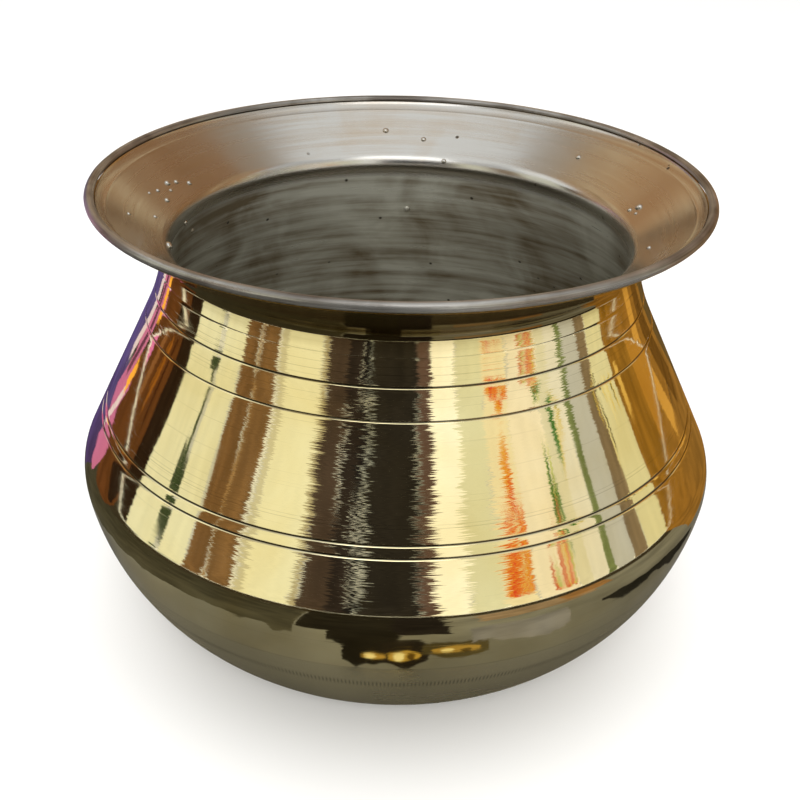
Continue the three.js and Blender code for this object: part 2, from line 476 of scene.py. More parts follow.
def makePolishedBrass(look):
    material, tree = newMaterial("brassTurnedAndBuffed")
    spots = turningCoordinates(tree)
    hairLines = streakNoise(tree, spots, look["hairLineLength"], look["hairLineWidth"], detail=2)
    scratches = streakNoise(tree, spots, look["scratchLength"], look["scratchWidth"], detail=2)
    scratches = rangeOf(tree, scratches, 0.64, 0.75, 0, 1)
    wideLines = streakNoise(tree, spots, look["wideLineLength"], look["wideLineWidth"], detail=3)
    smudges = patchNoise(tree, spots, look["smudgeSize"], detail=4, distortion=0.6)
    ripple = patchNoise(tree, spots, look["rippleSize"], detail=2)
    satin = rangeOf(tree, spots["height"], buffedAbove + 0.8, buffedAbove - 0.8, 0, 1)
    tickCount = round(2 * math.pi * look["tickRadius"] / look["tickPitch"])
    angle = combine(tree, "ARCTAN2", spots["y"], spots["x"])
    ticks = combine(tree, "SINE", combine(tree, "MULTIPLY", angle, tickCount), 0.0)
    fromTicks = farFrom(tree, spots["height"], look["tickHeight"])
    # colour: cleaner and warmer patches, darker along the scratches and on the chatter ticks, and painted
    # shade in the turned lines
    tone = rangeOf(tree, smudges, 0.35, 0.68, 0, 1)
    colour = mixColours(tree, tone, look["bright"], look["warm"])
    colour = mixColours(tree, satin, colour, look["satinTint"])
    darkLinesAndShadeMask = combine(tree, "MULTIPLY", scratches, look["scratchDarkening"])
    # painted shade: each turned line is darkened, the deeper it is cut the darker
    for lineHeight, halfWidth, cut in turnedLines:
        away = farFrom(tree, spots["height"], lineHeight)
        lineShade = rangeOf(tree, away, halfWidth * 0.5, halfWidth * 1.2, min(0.9, cut * 5), 0.0)
        darkLinesAndShadeMask = combine(tree, "MAXIMUM", darkLinesAndShadeMask, lineShade)
    tickMask = rangeOf(tree, fromTicks, 0.6, 1.9, 1.0, 0.0)
    darkTicks = rangeOf(tree, ticks, -0.2, 0.6, 0.0, look["tickDarkness"])
    darkLinesAndShadeMask = combine(tree, "MAXIMUM", darkLinesAndShadeMask, combine(tree, "MULTIPLY", darkTicks, tickMask))
    colour = mixColours(tree, darkLinesAndShadeMask, colour, look["darkLinesAndShade"])
    # painted shade: right under the lip, where the mouth shades the neck, the brass is painted a darker
    # brown in patches
    shadeUnderLipFull = look["shadeUnderLipFrom"] + look["shadeUnderLipFade"]
    underLip = rangeOf(tree, spots["height"], look["shadeUnderLipFrom"], shadeUnderLipFull, 0, 1)
    patchy = rangeOf(tree, wideLines, 0.3, 0.6, 0.25, 0.85)
    colour = mixColours(tree, combine(tree, "MULTIPLY", underLip, patchy), colour, look["shadeUnderLip"])
    # gloss: hair lines and finger smudges dull the mirror, and the scoured bowl is satin
    gloss = rangeOf(tree, wideLines, 0.3, 0.75, look["roughness"] * 0.7, look["roughness"] * 1.4)
    dull = rangeOf(tree, smudges, 0.55, 0.85, 0.0, 0.05)
    gloss = combine(tree, "ADD", gloss, dull)
    gloss = combine(tree, "ADD", gloss, combine(tree, "MULTIPLY", satin, look["satinRoughness"]))
    # relief: ripples left by the hammer, then hair lines, scratches and the tool chatter
    bump = addBump(tree, ripple, look["rippleDepth"])
    bump = addBump(tree, hairLines, look["hairLineDepth"], bump)
    bump = addBump(tree, scratches, look["scratchDepth"], bump)
    bump = addBump(tree, combine(tree, "MULTIPLY", ticks, tickMask), look["tickDepth"], bump)
    # no two turned lines face quite the same way, which feathers every upright edge seen in them
    leanLines = streakNoise(tree, spots, look["leanLength"], look["leanWidth"], detail=2)
    worn = rangeOf(tree, patchNoise(tree, spots, look["wornPatch"], detail=2), 0.42, 0.6, 0.3, 1.0)
    fromMiddle = combine(tree, "ABSOLUTE", spots["x"], 0.0)
    middle = rangeOf(tree, fromMiddle, look["wornFrom"] * mm, look["wornFull"] * mm,
                     look["wornElsewhere"], 1.0)
    worn = combine(tree, "MULTIPLY", worn, middle)
    lean = rangeOf(tree, leanLines, 0.3, 0.7, -look["lean"], look["lean"])
    lean = combine(tree, "MULTIPLY", lean, worn)
    sideways = addNode(tree, "ShaderNodeTangent", {"direction_type": "RADIAL", "axis": "Z"}).outputs[0]
    shift = addNode(tree, "ShaderNodeVectorMath", {"operation": "SCALE"}, {0: sideways, 3: lean}).outputs[0]
    leaning = addNode(tree, "ShaderNodeVectorMath", {"operation": "ADD"}, {0: bump, 1: shift}).outputs[0]
    normal = addNode(tree, "ShaderNodeVectorMath", {"operation": "NORMALIZE"}, {0: leaning}).outputs[0]
    metalSurface(tree, colour, gloss, normal, look["anisotropy"])
    return material


# brass spelter, melted into the seams: duller and paler than the sheet
brazingBrass = {
    "pale": "C9A765",
    "deep": "9C7B3E",
    "grainSize": 1.2,
    "grainDepth": 0.02,
}


def makeBrazingBrass(look):
    material, tree = newMaterial("brassSpelterAsBrazed")
    spots = turningCoordinates(tree)
    grain = patchNoise(tree, spots, look["grainSize"], detail=4)
    colour = mixColours(tree, rangeOf(tree, grain, 0.3, 0.7, 0, 1), look["pale"], look["deep"])
    gloss = rangeOf(tree, grain, 0.3, 0.7, 0.3, 0.5)
    bump = addBump(tree, grain, look["grainDepth"])
    metalSurface(tree, colour, gloss, bump)
    return material


# tin, wiped on hot with cotton: grey streaks round the pot, warm where it is thin over the brass
tinLooks = {
    "mouth": {
        "name": "tinWipedMouth",
        "clean": "C8C6BF",
        "thin": "BEAE98",
        "dark": "4F463B",
        "thinShare": (0.46, 0.78),
        "roughness": (0.20, 0.30),
        "metallic": 1.0,
        "streakWidth": 1.6,
        "streakDepth": 0.012,
        "pits": 0.12,
        "crossMarks": 0.0,
    },
    # duller and half matt where food has been
    "inside": {
        "name": "tinDulledInside",
        "clean": "B9B8AA",
        "thin": "6C604A",
        "dark": "38332A",
        "thinShare": (0.38, 0.62),
        "roughness": (0.26, 0.44),
        "metallic": 0.50,
        "streakWidth": 2.8,
        "streakDepth": 0.035,
        "pits": 0.6,
        "crossMarks": 0.0,
    },
    # filed smooth round the bead, with dents that hold dirt
    "rim": {
        "name": "tinFiledRim",
        "clean": "B0AEA8",
        "thin": "625B53",
        "dark": "3A342D",
        "thinShare": (0.38, 0.60),
        "roughness": (0.24, 0.42),
        "metallic": 0.85,
        "streakWidth": 0.7,
        "streakDepth": 0.03,
        "pits": 0.5,
        "crossMarks": 0.035,     # file marks across the bead, this deep in mm
    },
}


# what all three share, sizes in mm
tinMarks = {
    "streakLength": 60,          # left by the wipe of the cotton
    "patchSize": 28,
    "pitSpacing": 7,
    "pitDepth": 0.12,
    "fineLength": 25,
    "fineWidth": 0.35,
    "fineDepth": 0.003,
    "crossLength": 0.9,
    "crossWidth": 4,
    "shineEnds": 3.6,            # the mouth's shine ends this far under the crease,
    "shineFades": 2.2,           # and fades over this height
    "anisotropy": 0.3,
}


def tinLayers(tree, spots, look):
    # the colour, gloss and relief of one look
    streaks = streakNoise(tree, spots, tinMarks["streakLength"], look["streakWidth"], detail=4)
    patches = patchNoise(tree, spots, tinMarks["patchSize"], detail=4, distortion=0.8)
    halfStreaks = combine(tree, "MULTIPLY", streaks, 0.5)
    blend = combine(tree, "ADD", halfStreaks, combine(tree, "MULTIPLY", patches, 0.5))
    thin = rangeOf(tree, blend, look["thinShare"][0], look["thinShare"][1], 0, 1)
    colour = mixColours(tree, thin, look["clean"], look["thin"])
    # small dark pits where the tin didn't take
    cellScale = 1 / (tinMarks["pitSpacing"] * mm)
    cells = addNode(tree, "ShaderNodeTexVoronoi", {"feature": "F1", "Scale": cellScale, "Randomness": 1.0},
                    {"Vector": spots["object"]})
    chance = addNode(tree, "ShaderNodeSeparateColor", {}, {"Color": cells.outputs["Color"]}).outputs[0]
    firstPit = 1 - look["pits"] * 0.5
    picked = rangeOf(tree, chance, firstPit, firstPit + 0.02, 0, 1)
    pit = combine(tree, "MULTIPLY", rangeOf(tree, cells.outputs["Distance"], 0.05, 0.12, 1, 0), picked)
    colour = mixColours(tree, pit, colour, look["dark"])
    gloss = rangeOf(tree, streaks, 0.3, 0.7, look["roughness"][0], look["roughness"][1])
    fineLines = streakNoise(tree, spots, tinMarks["fineLength"], tinMarks["fineWidth"], detail=2)
    bump = addBump(tree, fineLines, tinMarks["fineDepth"])
    bump = addBump(tree, streaks, look["streakDepth"], bump)
    if look["crossMarks"]:
        crossLines = streakNoise(tree, spots, tinMarks["crossLength"], tinMarks["crossWidth"], detail=2)
        bump = addBump(tree, crossLines, look["crossMarks"], bump)
    bump = addBump(tree, combine(tree, "MULTIPLY", pit, -1.0), tinMarks["pitDepth"], bump)
    return colour, gloss, bump


def makeTin(look):
    material, tree = newMaterial(look["name"])
    colour, gloss, bump = tinLayers(tree, turningCoordinates(tree), look)
    metalSurface(tree, colour, gloss, bump, tinMarks["anisotropy"], look["metallic"])
    return material


def makeMouthTin(above, below, edge):
    # the mouth keeps its shine, and under its edge it is as dull as the rest of the inside
    material, tree = newMaterial(above["name"])
    spots = turningCoordinates(tree)
    brightColour, brightGloss, brightBump = tinLayers(tree, spots, above)
    dullColour, dullGloss, dullBump = tinLayers(tree, spots, below)
    share = rangeOf(tree, spots["height"], edge, edge + tinMarks["shineFades"], 0, 1)
    colour = mixColours(tree, share, dullColour, brightColour)
    gloss = addNode(tree, "ShaderNodeMix", {"data_type": "FLOAT"}, {0: share, 2: dullGloss, 3: brightGloss})
    bump = addNode(tree, "ShaderNodeMix", {"data_type": "VECTOR"}, {0: share, 4: dullBump, 5: brightBump})
    shader = metalSurface(tree, colour, gloss.outputs[0], bump.outputs[1], tinMarks["anisotropy"])
    metallic = rangeOf(tree, share, 0, 1, below["metallic"], above["metallic"])
    tree.links.new(metallic, shader.inputs["Metallic"])
    return material


brass = makePolishedBrass(polishedBrass)
spelter = makeBrazingBrass(brazingBrass)
shineEdge = wallShape["creaseStart"] - tinMarks["shineEnds"]
mouthTin = makeMouthTin(tinLooks["mouth"], tinLooks["inside"], shineEdge)
insideTin = makeTin(tinLooks["inside"])
rimTin = makeTin(tinLooks["rim"])
print("finishes made")


def seamHeights(lineHeight):
    lapEnd = lineHeight - wallShape["lapHeight"]
    brazeTop = lapEnd - gap
    brazeBottom = brazeTop - wallShape["brazeHeight"]
    return {
        "above": lineHeight + gap / 2,
        "below": lineHeight - gap / 2,
        "lapEnd": lapEnd,
        "brazeTop": brazeTop,
        "brazeBottom": brazeBottom,
        "shelf": brazeBottom - gap,
    }


bellySeam = seamHeights(bellySeamHeight)
neckSeam = seamHeights(neckSeamHeight)


def upperLap(seam):
    return thinned(stretch(outerLeafBack, seam["shelf"], seam["below"]), 4)[::-1]


def lowerLap(seam):
    return thinned(stretch(innerLeafFace, seam["lapEnd"], seam["above"]), 4)


def hiddenInside(low, high):
    return thinned(stretch(inside, low, high), 5)[::-1]


bowlSection = stretch(outside, None, bellySeam["below"]) + upperLap(bellySeam)
bowlSection += hiddenInside(None, bellySeam["shelf"])
place(turnedSolid("baseBowl", bowlSection, closed=False), "base_bowl", brass)

shoulderSection = stretch(outside, bellySeam["above"], neckSeam["below"]) + upperLap(neckSeam)
shoulderSection += hiddenInside(bellySeam["lapEnd"], neckSeam["shelf"]) + lowerLap(bellySeam)
place(turnedSolid("shoulderCone", shoulderSection), "shoulder_cone", brass)

collarSection = stretch(outside, neckSeam["above"], None)
collarSection += hiddenInside(neckSeam["lapEnd"], None) + lowerLap(neckSeam)
place(turnedSolid("neckMouthCollar", collarSection), "neck_mouth_collar", brass)
print("brass sheets made")


def seamBraze(name, node, seam):
    face = thinned(stretch(innerLeafFace, seam["brazeBottom"], seam["brazeTop"]), 2)
    back = thinned(stretch(inside, seam["brazeBottom"], seam["brazeTop"]), 2)[::-1]
    place(turnedSolid(name, face + back), node, spelter)


seamBraze("bellyBraze", "belly_braze", bellySeam)
seamBraze("neckBraze", "neck_braze", neckSeam)


rimShape = {
    "beadSteps": 44,
    "roundSteps": 720,
    "unevenness": 0.10,          # file marks and knocks, in mm
    "knocksRound": 14,
    "filingsRound": 60,
}

beadRadius = wallShape["beadRadius"]
beadCentre = (wallShape["rimRadius"] - beadRadius, wallShape["potHeight"] - beadRadius)


def rimPoint(along, across):
    # along the mouth's wall from the middle of the bead, and across it
    return (
        beadCentre[0] + along * math.cos(mouthSlope) - across * math.sin(mouthSlope),
        beadCentre[1] + along * math.sin(mouthSlope) + across * math.cos(mouthSlope),
    )


def noiseRound(angle, reach, across):
    return noise.noise(Vector((math.cos(angle) * reach, math.sin(angle) * reach, across)))


def makeRimBead():
    flatAngle = math.acos(-wallShape["rimFlat"] / beadRadius)
    section = []
    for step in range(rimShape["beadSteps"] + 1):
        angle = -flatAngle + 2 * flatAngle * step / rimShape["beadSteps"]
        section.append(rimPoint(beadRadius * math.cos(angle), beadRadius * math.sin(angle)))
    bead = turnedSolid("rimBead", section, wobble=0.0, steps=rimShape["roundSteps"])
    middle = Vector((beadCentre[0] * mm, beadCentre[1] * mm))
    for vertex in bead.data.vertices:
        angle = math.atan2(vertex.co.y, vertex.co.x)
        radius = math.hypot(vertex.co.x, vertex.co.y)
        away = Vector((radius, vertex.co.z)) - middle
        knock = noiseRound(angle, rimShape["knocksRound"], away.x * 700)
        filing = noiseRound(angle, rimShape["filingsRound"], away.y * 900)
        shrink = rimShape["unevenness"] * mm * (0.5 - 0.35 * knock - 0.15 * filing)
        away *= 1 - shrink / max(away.length, 1e-6)
        radius = middle.x + away.x
        vertex.co = (radius * math.cos(angle), radius * math.sin(angle), middle.y + away.y)
    return bead


place(makeRimBead(), "rim_ring", rimTin)

brazeEnd = -wallShape["rimFlat"] - gap
brazeStart = brazeEnd - wallShape["rimBrazeWidth"]
rimBrazeSection = [
    rimPoint(brazeStart, -beadRadius),
    rimPoint(brazeEnd, -beadRadius),
    rimPoint(brazeEnd, -beadRadius + wall),
    rimPoint(brazeStart, -beadRadius + wall),
]
place(turnedSolid("rimBraze", rimBrazeSection), "rim_braze", spelter)


liningSplit = {
    "belly": (bellySeam["brazeTop"] + bellySeam["brazeBottom"]) / 2,
    "neck": (neckSeam["brazeTop"] + neckSeam["brazeBottom"]) / 2,
    "gap": 0.02,
}


def liningSection(low, high):
    return thinned(stretch(tinBack, low, high), 3) + stretch(tinFace, low, high)[::-1]


section = liningSection(None, liningSplit["belly"] - liningSplit["gap"])
bowlLining = turnedSolid("bowlLining", section, closed=False)
place(bowlLining, "tin_lining_bowl", insideTin)

section = liningSection(liningSplit["belly"], liningSplit["neck"] - liningSplit["gap"])
shoulderLining = turnedSolid("shoulderLining", section)
place(shoulderLining, "tin_lining_shoulder", insideTin)


mouthShape = {
    "dipFrom": 1.9,              # a shallow channel runs round inside the bead: its two edges, in mm
    "dipTo": 5.3,                # from the middle of the bead
    "dipDepth": 0.12,
    "lipHeight": 0.05,           # and the tin stands up a little along its inner edge
    "filletHeight": 0.36,        # tin runs up the side of the bead
    "filletWidth": 0.6,
    "plainFrom": 8,
    "steps": 36,
}


def mouthRelief(fromBead):
    share = (fromBead - mouthShape["dipFrom"]) / (mouthShape["dipTo"] - mouthShape["dipFrom"])
    relief = 0
    if 0 < share < 1:
        relief -= mouthShape["dipDepth"] * math.sin(math.pi * share) ** 0.8
    relief += mouthShape["lipHeight"] * math.exp(-((fromBead - mouthShape["dipTo"] - 0.3) / 0.35) ** 2)
    relief += mouthShape["filletHeight"] * math.exp(-(fromBead - beadRadius) / mouthShape["filletWidth"])
    return relief


def makeMouthLining():
    backAcross = -beadRadius + wall + gap
    faceAcross = backAcross + wallShape["tinThickness"]
    start = math.sqrt(beadRadius ** 2 - backAcross ** 2) + 0.03
    back = thinned(stretch(tinBack, liningSplit["neck"], None), 3) + [rimPoint(-start, backAcross)]
    plainEnd = rimPoint(-mouthShape["plainFrom"], faceAcross)
    face = stretch(tinFace, liningSplit["neck"], plainEnd[1])[:-1]
    for step in range(mouthShape["steps"] + 1):
        share = step / mouthShape["steps"]
        fromBead = mouthShape["plainFrom"] + (start - mouthShape["plainFrom"]) * share
        face.append(rimPoint(-fromBead, faceAcross + mouthRelief(fromBead)))
    return turnedSolid("mouthLining", back + face[::-1])


place(makeMouthLining(), "tin_lining_mouth", mouthTin)

# drops of tin that froze on the mouth: azimuth from the camera, height and diameter in mm
tinDrops = {
    "spots": [
        (-77, 145.5, 3.2), (-80.5, 155.1, 1.5), (-88, 150.0, 1.6), (-99.5, 150.0, 2.0),
        (-100.5, 152.6, 1.6), (-104.5, 151.0, 1.5), (-106, 152.6, 2.3), (-109, 151.8, 1.9),
        (-112.5, 150.2, 2.0), (-97, 153.4, 1.3), (-102, 141.0, 2.1), (-108.5, 134.9, 2.0),
        (-175.5, 154.2, 2.4), (178.5, 124.6, 2.6), (174.5, 152.0, 2.1), (168, 146.2, 2.0),
        (131.5, 154.3, 2.2), (101.5, 149.2, 1.8), (100, 150.9, 2.8), (98.2, 149.6, 1.4),
        (74.5, 150.3, 1.7),
    ],
    "plumpness": 0.36,           # height over diameter
    "sunk": 0.15,                # how far each one runs into the lining, in mm
    "rings": 5,
    "sides": 14,
}


def faceFrame(height):
    # a point on the face of the lining, and its normal, which leans in over the pot
    radius, height = pointAtHeight(tinFace, height)
    above = pointAtHeight(tinFace, height + 0.3)
    slope = math.atan2(above[1] - height, above[0] - radius)
    return radius, height, -math.sin(slope), math.cos(slope)


def makeTinDrops(shape):
    vertices = []
    faces = []
    sides = shape["sides"]
    for azimuth, height, diameter in shape["spots"]:
        radius, height, outR, outZ = faceFrame(height)
        turn = azimuth * degree
        across = Vector((math.sin(turn), -math.cos(turn), 0))
        normal = (across * outR + Vector((0, 0, outZ))).normalized()
        sideways = Vector((math.cos(turn), math.sin(turn), 0))
        upward = normal.cross(sideways)
        middle = across * radius + Vector((0, 0, height)) - normal * shape["sunk"]
        full = diameter * shape["plumpness"] + shape["sunk"]
        first = len(vertices)
        for ring in range(shape["rings"]):
            lift = ring / shape["rings"]
            reach = diameter / 2 * math.sqrt(1 - lift ** 2)
            rise = lift * full
            for side in range(sides):
                angle = 2 * math.pi * side / sides
                outward = sideways * math.cos(angle) + upward * math.sin(angle)
                vertices.append((middle + outward * reach + normal * rise) * mm)
        vertices.append((middle + normal * full) * mm)
        top = len(vertices) - 1
        faces.append([first + side for side in range(sides)][::-1])
        for ring in range(shape["rings"] - 1):
            low = first + ring * sides
            for side in range(sides):
                after = (side + 1) % sides
                faces.append((low + side, low + after, low + sides + after, low + sides + side))
        low = first + (shape["rings"] - 1) * sides
        for side in range(sides):
            faces.append((low + side, low + (side + 1) % sides, top))
    return meshObject("tinDrops", vertices, faces, sharpAngle=50)


place(makeTinDrops(tinDrops), "tin_lining_mouth", mouthTin)
print("rim and lining made")


studio = {
    "floorSize": 7.0,
    "floor": "F4F3F0",
    "matRadius": 0.95,
    "mat": "6C6A63",
    "matDark": "54524C",
    "cardDistance": 0.95,
    "cardSpread": 0.06,          # the first card stands this much further out
    "cardStep": 0.0008,          # and each later one this much nearer
    "cardWander": 1.1,           # how far its edges stray, in degrees
    "floorStep": 0.00002,        # height between two things on the floor
    "mottle": 22.0,              # blotches to a metre
    "air": "F4F5F7",
    "airStrength": 0.72,
}

# upright cards that only the metal sees: azimuth from the camera and width in degrees, low and
# high edge in metres, colour and strength
cards = [
    (-156, 18, 0, 0.5, "5A4680", 0.8),
    (-144, 10, 0, 0.5, "8672C0", 0.6),
    (-137, 4.5, 0, 0.66, "F6E4FF", 0.9),
    (-132, 6, 0, 0.66, "EE78C6", 0.95),
    (-128, 3.4, 0, 0.66, "6B4654", 0.9),
    (-125.5, 2.4, 0, 0.66, "F8E4F4", 0.9),
    (-122.5, 4.4, 0, 0.66, "F083C8", 0.95),
    (-111.5, 19, 0, 0.66, "74482A", 0.9),
    (-98.5, 9, 0, 0.66, "34251B", 0.9),
    (-116, 2.4, 0, 0.22, "96643E", 0.9),
    (-107, 2.6, 0.19, 0.27, "F0802A", 1.05),
    (-108, 1.8, 0.28, 0.36, "FFCB50", 1.3),
    (-100, 44, 0.64, 1.7, "F4F6F8", 1.35),
    (0, 64, 1.05, 2.3, "FBFCFF", 2.6),
    (-90.5, 9, 0, 0.9, "EFEEDA", 1.06),
    (-85, 7, 0, 0.9, "EFEEDA", 1.06),
    (-81.5, 5, 0.11, 0.2, "46543A", 1),
    (-81, 1, 0.2, 0.3, "59654A", 1),
    (-81, 3, 0.03, 0.06, "46543A", 1),
    (-73.5, 10, 0, 0.9, "F1F0DC", 1.06),
    (-64.5, 8, 0, 0.9, "8D6A48", 1),
    (-60, 1, 0, 0.9, "B28F66", 1),
    (-55.3, 8.5, 0, 0.9, "94714E", 1),
    (-50.6, 1, 0, 0.9, "FFFFFF", 1),
    (-48.4, 3, 0, 0.9, "D9D4BE", 1.05),
    (-39, 16, 0, 0.9, "F3F1DA", 1.12),
    (-30, 2, 0, 0.9, "BFB497", 1),
    (-24.5, 9, 0, 0.8, "594A42", 0.9),
    (-17, 6, 0, 0.8, "3A3230", 0.9),
    (-12.6, 3, 0, 0.8, "2A2728", 0.9),
    (-10.6, 1, 0, 0.8, "A9AFB4", 0.9),
    (-1.3, 18, 0, 0.8, "35312E", 0.9),
    (8.2, 1, 0, 0.8, "A9AFB4", 0.9),
    (11, 5, 0, 0.8, "6F5954", 0.9),
    (18.7, 10.5, 0, 0.9, "FFFDF8", 1.25),
    (29.5, 11, 0, 0.9, "E6E6D0", 1.1),
    (40, 10, 0, 0.9, "F6EBCF", 1.1),
    (52, 14, 0, 0.9, "F4EADC", 1.15),
    (61.5, 5, 0, 0.9, "E9E4D2", 1.05),
    (67, 6, 0, 0.9, "F0ECE8", 1.05),
    (71.5, 3, 0, 0.9, "8E9C6A", 0.9),
    (77, 8, 0, 0.9, "C6C6CC", 1.05),
    (84, 6, 0, 0.9, "96826C", 1),
    (93, 12, 0, 0.9, "E6E0BF", 1.05),
    (146, 21, 0, 0.38, "BC8232", 1),
    (131, 16, 0, 0.4, "9C6C2C", 1),
    (117, 15, 0, 0.42, "BE8838", 1),
    (105, 14, 0, 0.5, "A4762F", 1),
    (101, 2.4, 0.12, 0.34, "EBC06A", 1),
]

# bright goods hung up beside the pot, in small pieces: where they hang (azimuth from and to, low
# and high edge in metres), how many pieces, and their paints
hungGoods = [
    (35.5, 44, 0.195, 0.315, 120, ("F0702E", "F28434", "F5A03A", "F6C648", "E8452E", "F3E3B8")),
    (39.5, 42, 0.3, 0.39, 14, ("F08A34", "F5B445", "E8552E")),
    (38, 42, 0.44, 0.5, 8, ("F08A34", "E8552E")),
    (50.5, 58, 0.09, 0.25, 60, ("E58A6A", "F0C96A", "EED9B0", "C9D08A", "F2B8A0", "D9704A")),
    (56, 59, 0.2, 0.33, 14, ("4F8A3E", "E0705A", "C9D36A")),
    (62, 66.5, 0.26, 0.46, 26, ("4E8A3C", "8FA65A", "EBD9A0", "C9B45A")),
    (55, 57.5, 0.38, 0.52, 12, ("8A5F52", "7A4F45")),
    (84, 97, 0.14, 0.34, 26, ("F0D060", "4A4A28", "F3E7B4", "6E6A34")),
    (-116, -104, 0.05, 0.3, 12, ("8A5228", "4A2A18", "B5702E")),
]
goodsSize = {
    "width": (0.4, 1.2),         # in degrees
    "height": (0.03, 0.09),      # in metres
    "seed": 11,
}

# the wall behind the pot is a row of narrower strips, so that every side has something to mirror
backWall = {
    "upper": (96, 248, 0.36, 1.3, 1.12),
    "lower": (155, 206, 0, 0.36, 0.9),
    "above": (96, 248, 1.3, 1.85, 1.05),
    "stripWidth": (4, 10),
    "paints": {
        "upper": ("B98A5E", "C9A47A", "A67C54", "B38B66", "DCC6A0", "9A7350"),
        "lower": ("7A5A3C", "D9C39A", "5A4230", "A9855A", "EFE4C4", "8C6A48"),
        "above": ("B5A797", "A99C8C", "C4B6A4"),
    },
    "seed": 23,
}

# things on the floor round the pot that only the metal sees, with painted shadows and painted reflections
# among them:
# azimuth and width in degrees, inner and outer edge in metres from the middle of the pot, colour and
# strength
floorCards = [
    (0, 360, 0.5, 0.94, "4A4236", 0.8),
    (-76, 104, 0.15, 0.5, "5C584A", 0.84),
    (-70, 90, 0.2, 0.5, "5A5648", 0.76),
    (-66, 78, 0.28, 0.5, "565244", 0.7),
    # a dark figure standing in front, and its painted shadow on the floor
    (-11, 25, 0.175, 0.9, "2E2A22", 0.9),
    (7, 14, 0.17, 0.9, "2C2724", 0.9),
    (-7, 17, 0.14, 0.2, "2A261E", 0.9),
    (-5, 13, 0.122, 0.16, "28241C", 0.9),
    (3, 11, 0.123, 0.15, "2E2820", 0.9),
    (15, 16, 0.128, 0.146, "5A5034", 0.9),
    # painted reflections: gold and bright spots on the floor just in front of the pot, with dark edges
    (-4.2, 5.6, 0.126, 0.136, "C9A24E", 0.85),
    (-5, 2.4, 0.128, 0.134, "FFEDAE", 0.95),
    (2.9, 7.4, 0.125, 0.139, "CFA94E", 0.85),
    (1.6, 2.4, 0.127, 0.136, "FFF0B4", 0.95),
    (4.4, 1.8, 0.128, 0.135, "6E5220", 0.9),
    (15.2, 11.5, 0.131, 0.139, "BF9A4A", 0.85),
    (13, 3, 0.132, 0.137, "FBE6A2", 0.95),
    (17.5, 2.6, 0.132, 0.136, "5E4A22", 0.9),
    (32, 26, 0.138, 0.2, "9A979A", 0.85),
    (40, 34, 0.26, 0.48, "B59A80", 0.8),
    (56, 16, 0.3, 0.5, "B98A5C", 0.8),
    # painted shadow: a dark strip on the floor at the right
    (77, 44, 0.14, 0.17, "2C2A26", 0.9),
    (118, 44, 0.19, 0.5, "AC7C3A", 0.85),
    (126, 60, 0.5, 0.94, "B07E38", 0.9),
    (122, 5, 0.5, 0.9, "E0A850", 0.95),
    (132, 7, 0.4, 0.9, "7E5826", 0.9),
    (150, 22, 0.13, 0.5, "7A6038", 0.8),
    (172, 18, 0.16, 0.94, "A08A64", 0.7),
    (-132, 30, 0.2, 0.36, "7A62A8", 0.5),
    (-114, 24, 0.4, 0.94, "74482A", 0.9),
    (-107, 8, 0.6, 0.94, "34251B", 0.9),
    (-143, 16, 0.3, 0.94, "8672C0", 0.55),
    (-132.5, 12, 0.3, 0.46, "8672C0", 0.55),
    (-119, 8, 0.33, 0.47, "E484BC", 0.85),
    (-127, 8, 0.38, 0.62, "E484BC", 0.85),
    (-131, 8, 0.55, 0.94, "E88AC0", 0.85),
    (-134.5, 3.4, 0.44, 0.84, "F8E4F4", 0.95),
    (-124.6, 2.2, 0.36, 0.56, "F8E4F4", 0.95),
    (-129.5, 2, 0.48, 0.8, "7A4A66", 0.95),
    (-125.5, 2.6, 0.52, 0.7, "FFB548", 1.2),
    (-166, 22, 0.15, 0.7, "6B4F3A", 0.8),
]


def glowMaterial(name, colour, strength):
    # mottled, as a painted wall or cloth would be
    material, tree = newMaterial(name)
    full = hexColour(colour)
    depth = 0.93 if full[0] > 0.5 else 0.66
    shaded = (full[0] * depth, full[1] * depth, full[2] * depth, 1.0)
    place3d = addNode(tree, "ShaderNodeTexCoord")
    stretched = addNode(tree, "ShaderNodeMapping", {"Scale": (1.0, 1.0, 0.5)},
                        {"Vector": place3d.outputs["Object"]})
    cloud = addNode(tree, "ShaderNodeTexNoise", {"Scale": studio["mottle"], "Detail": 5.0},
                    {"Vector": stretched.outputs[0]})
    share = rangeOf(tree, cloud.outputs["Fac"], 0.38, 0.62, 0, 1)
    paint = addNode(tree, "ShaderNodeMix", {"data_type": "RGBA", 6: shaded, 7: full}, {0: share})
    glow = addNode(tree, "ShaderNodeEmission", {"Strength": strength}, {"Color": paint.outputs[2]})
    addNode(tree, "ShaderNodeOutputMaterial", {}, {"Surface": glow.outputs[0]})
    return material


def makeCardMesh(name, rows, colour, strength):
    # rows are lists of points, all of one length, and the card is the sheet between them
    vertices = [point for row in rows for point in row]
    across = len(rows[0])
    faces = []
    for row in range(len(rows) - 1):
        for step in range(across - 1):
            first = row * across + step
            faces.append((first, first + 1, first + across + 1, first + across))
    makeCardFromFaces(name, vertices, faces, colour, strength)


def makeCardFromFaces(name, vertices, faces, colour, strength):
    card = meshObject(name, vertices, faces)
    card.data.materials.append(glowMaterial(name + "Paint", colour, strength))
    reflectOnly(card)


def drumPoint(azimuth, distance, height):
    return (distance * math.sin(azimuth * degree), -distance * math.cos(azimuth * degree), height)


def waver(seed, along):
    slow = noise.noise(Vector((along, seed * 7.3, 0.5)))
    quick = noise.noise(Vector((along * 3.1, seed * 7.3, 4.5)))
    return slow + 0.5 * quick


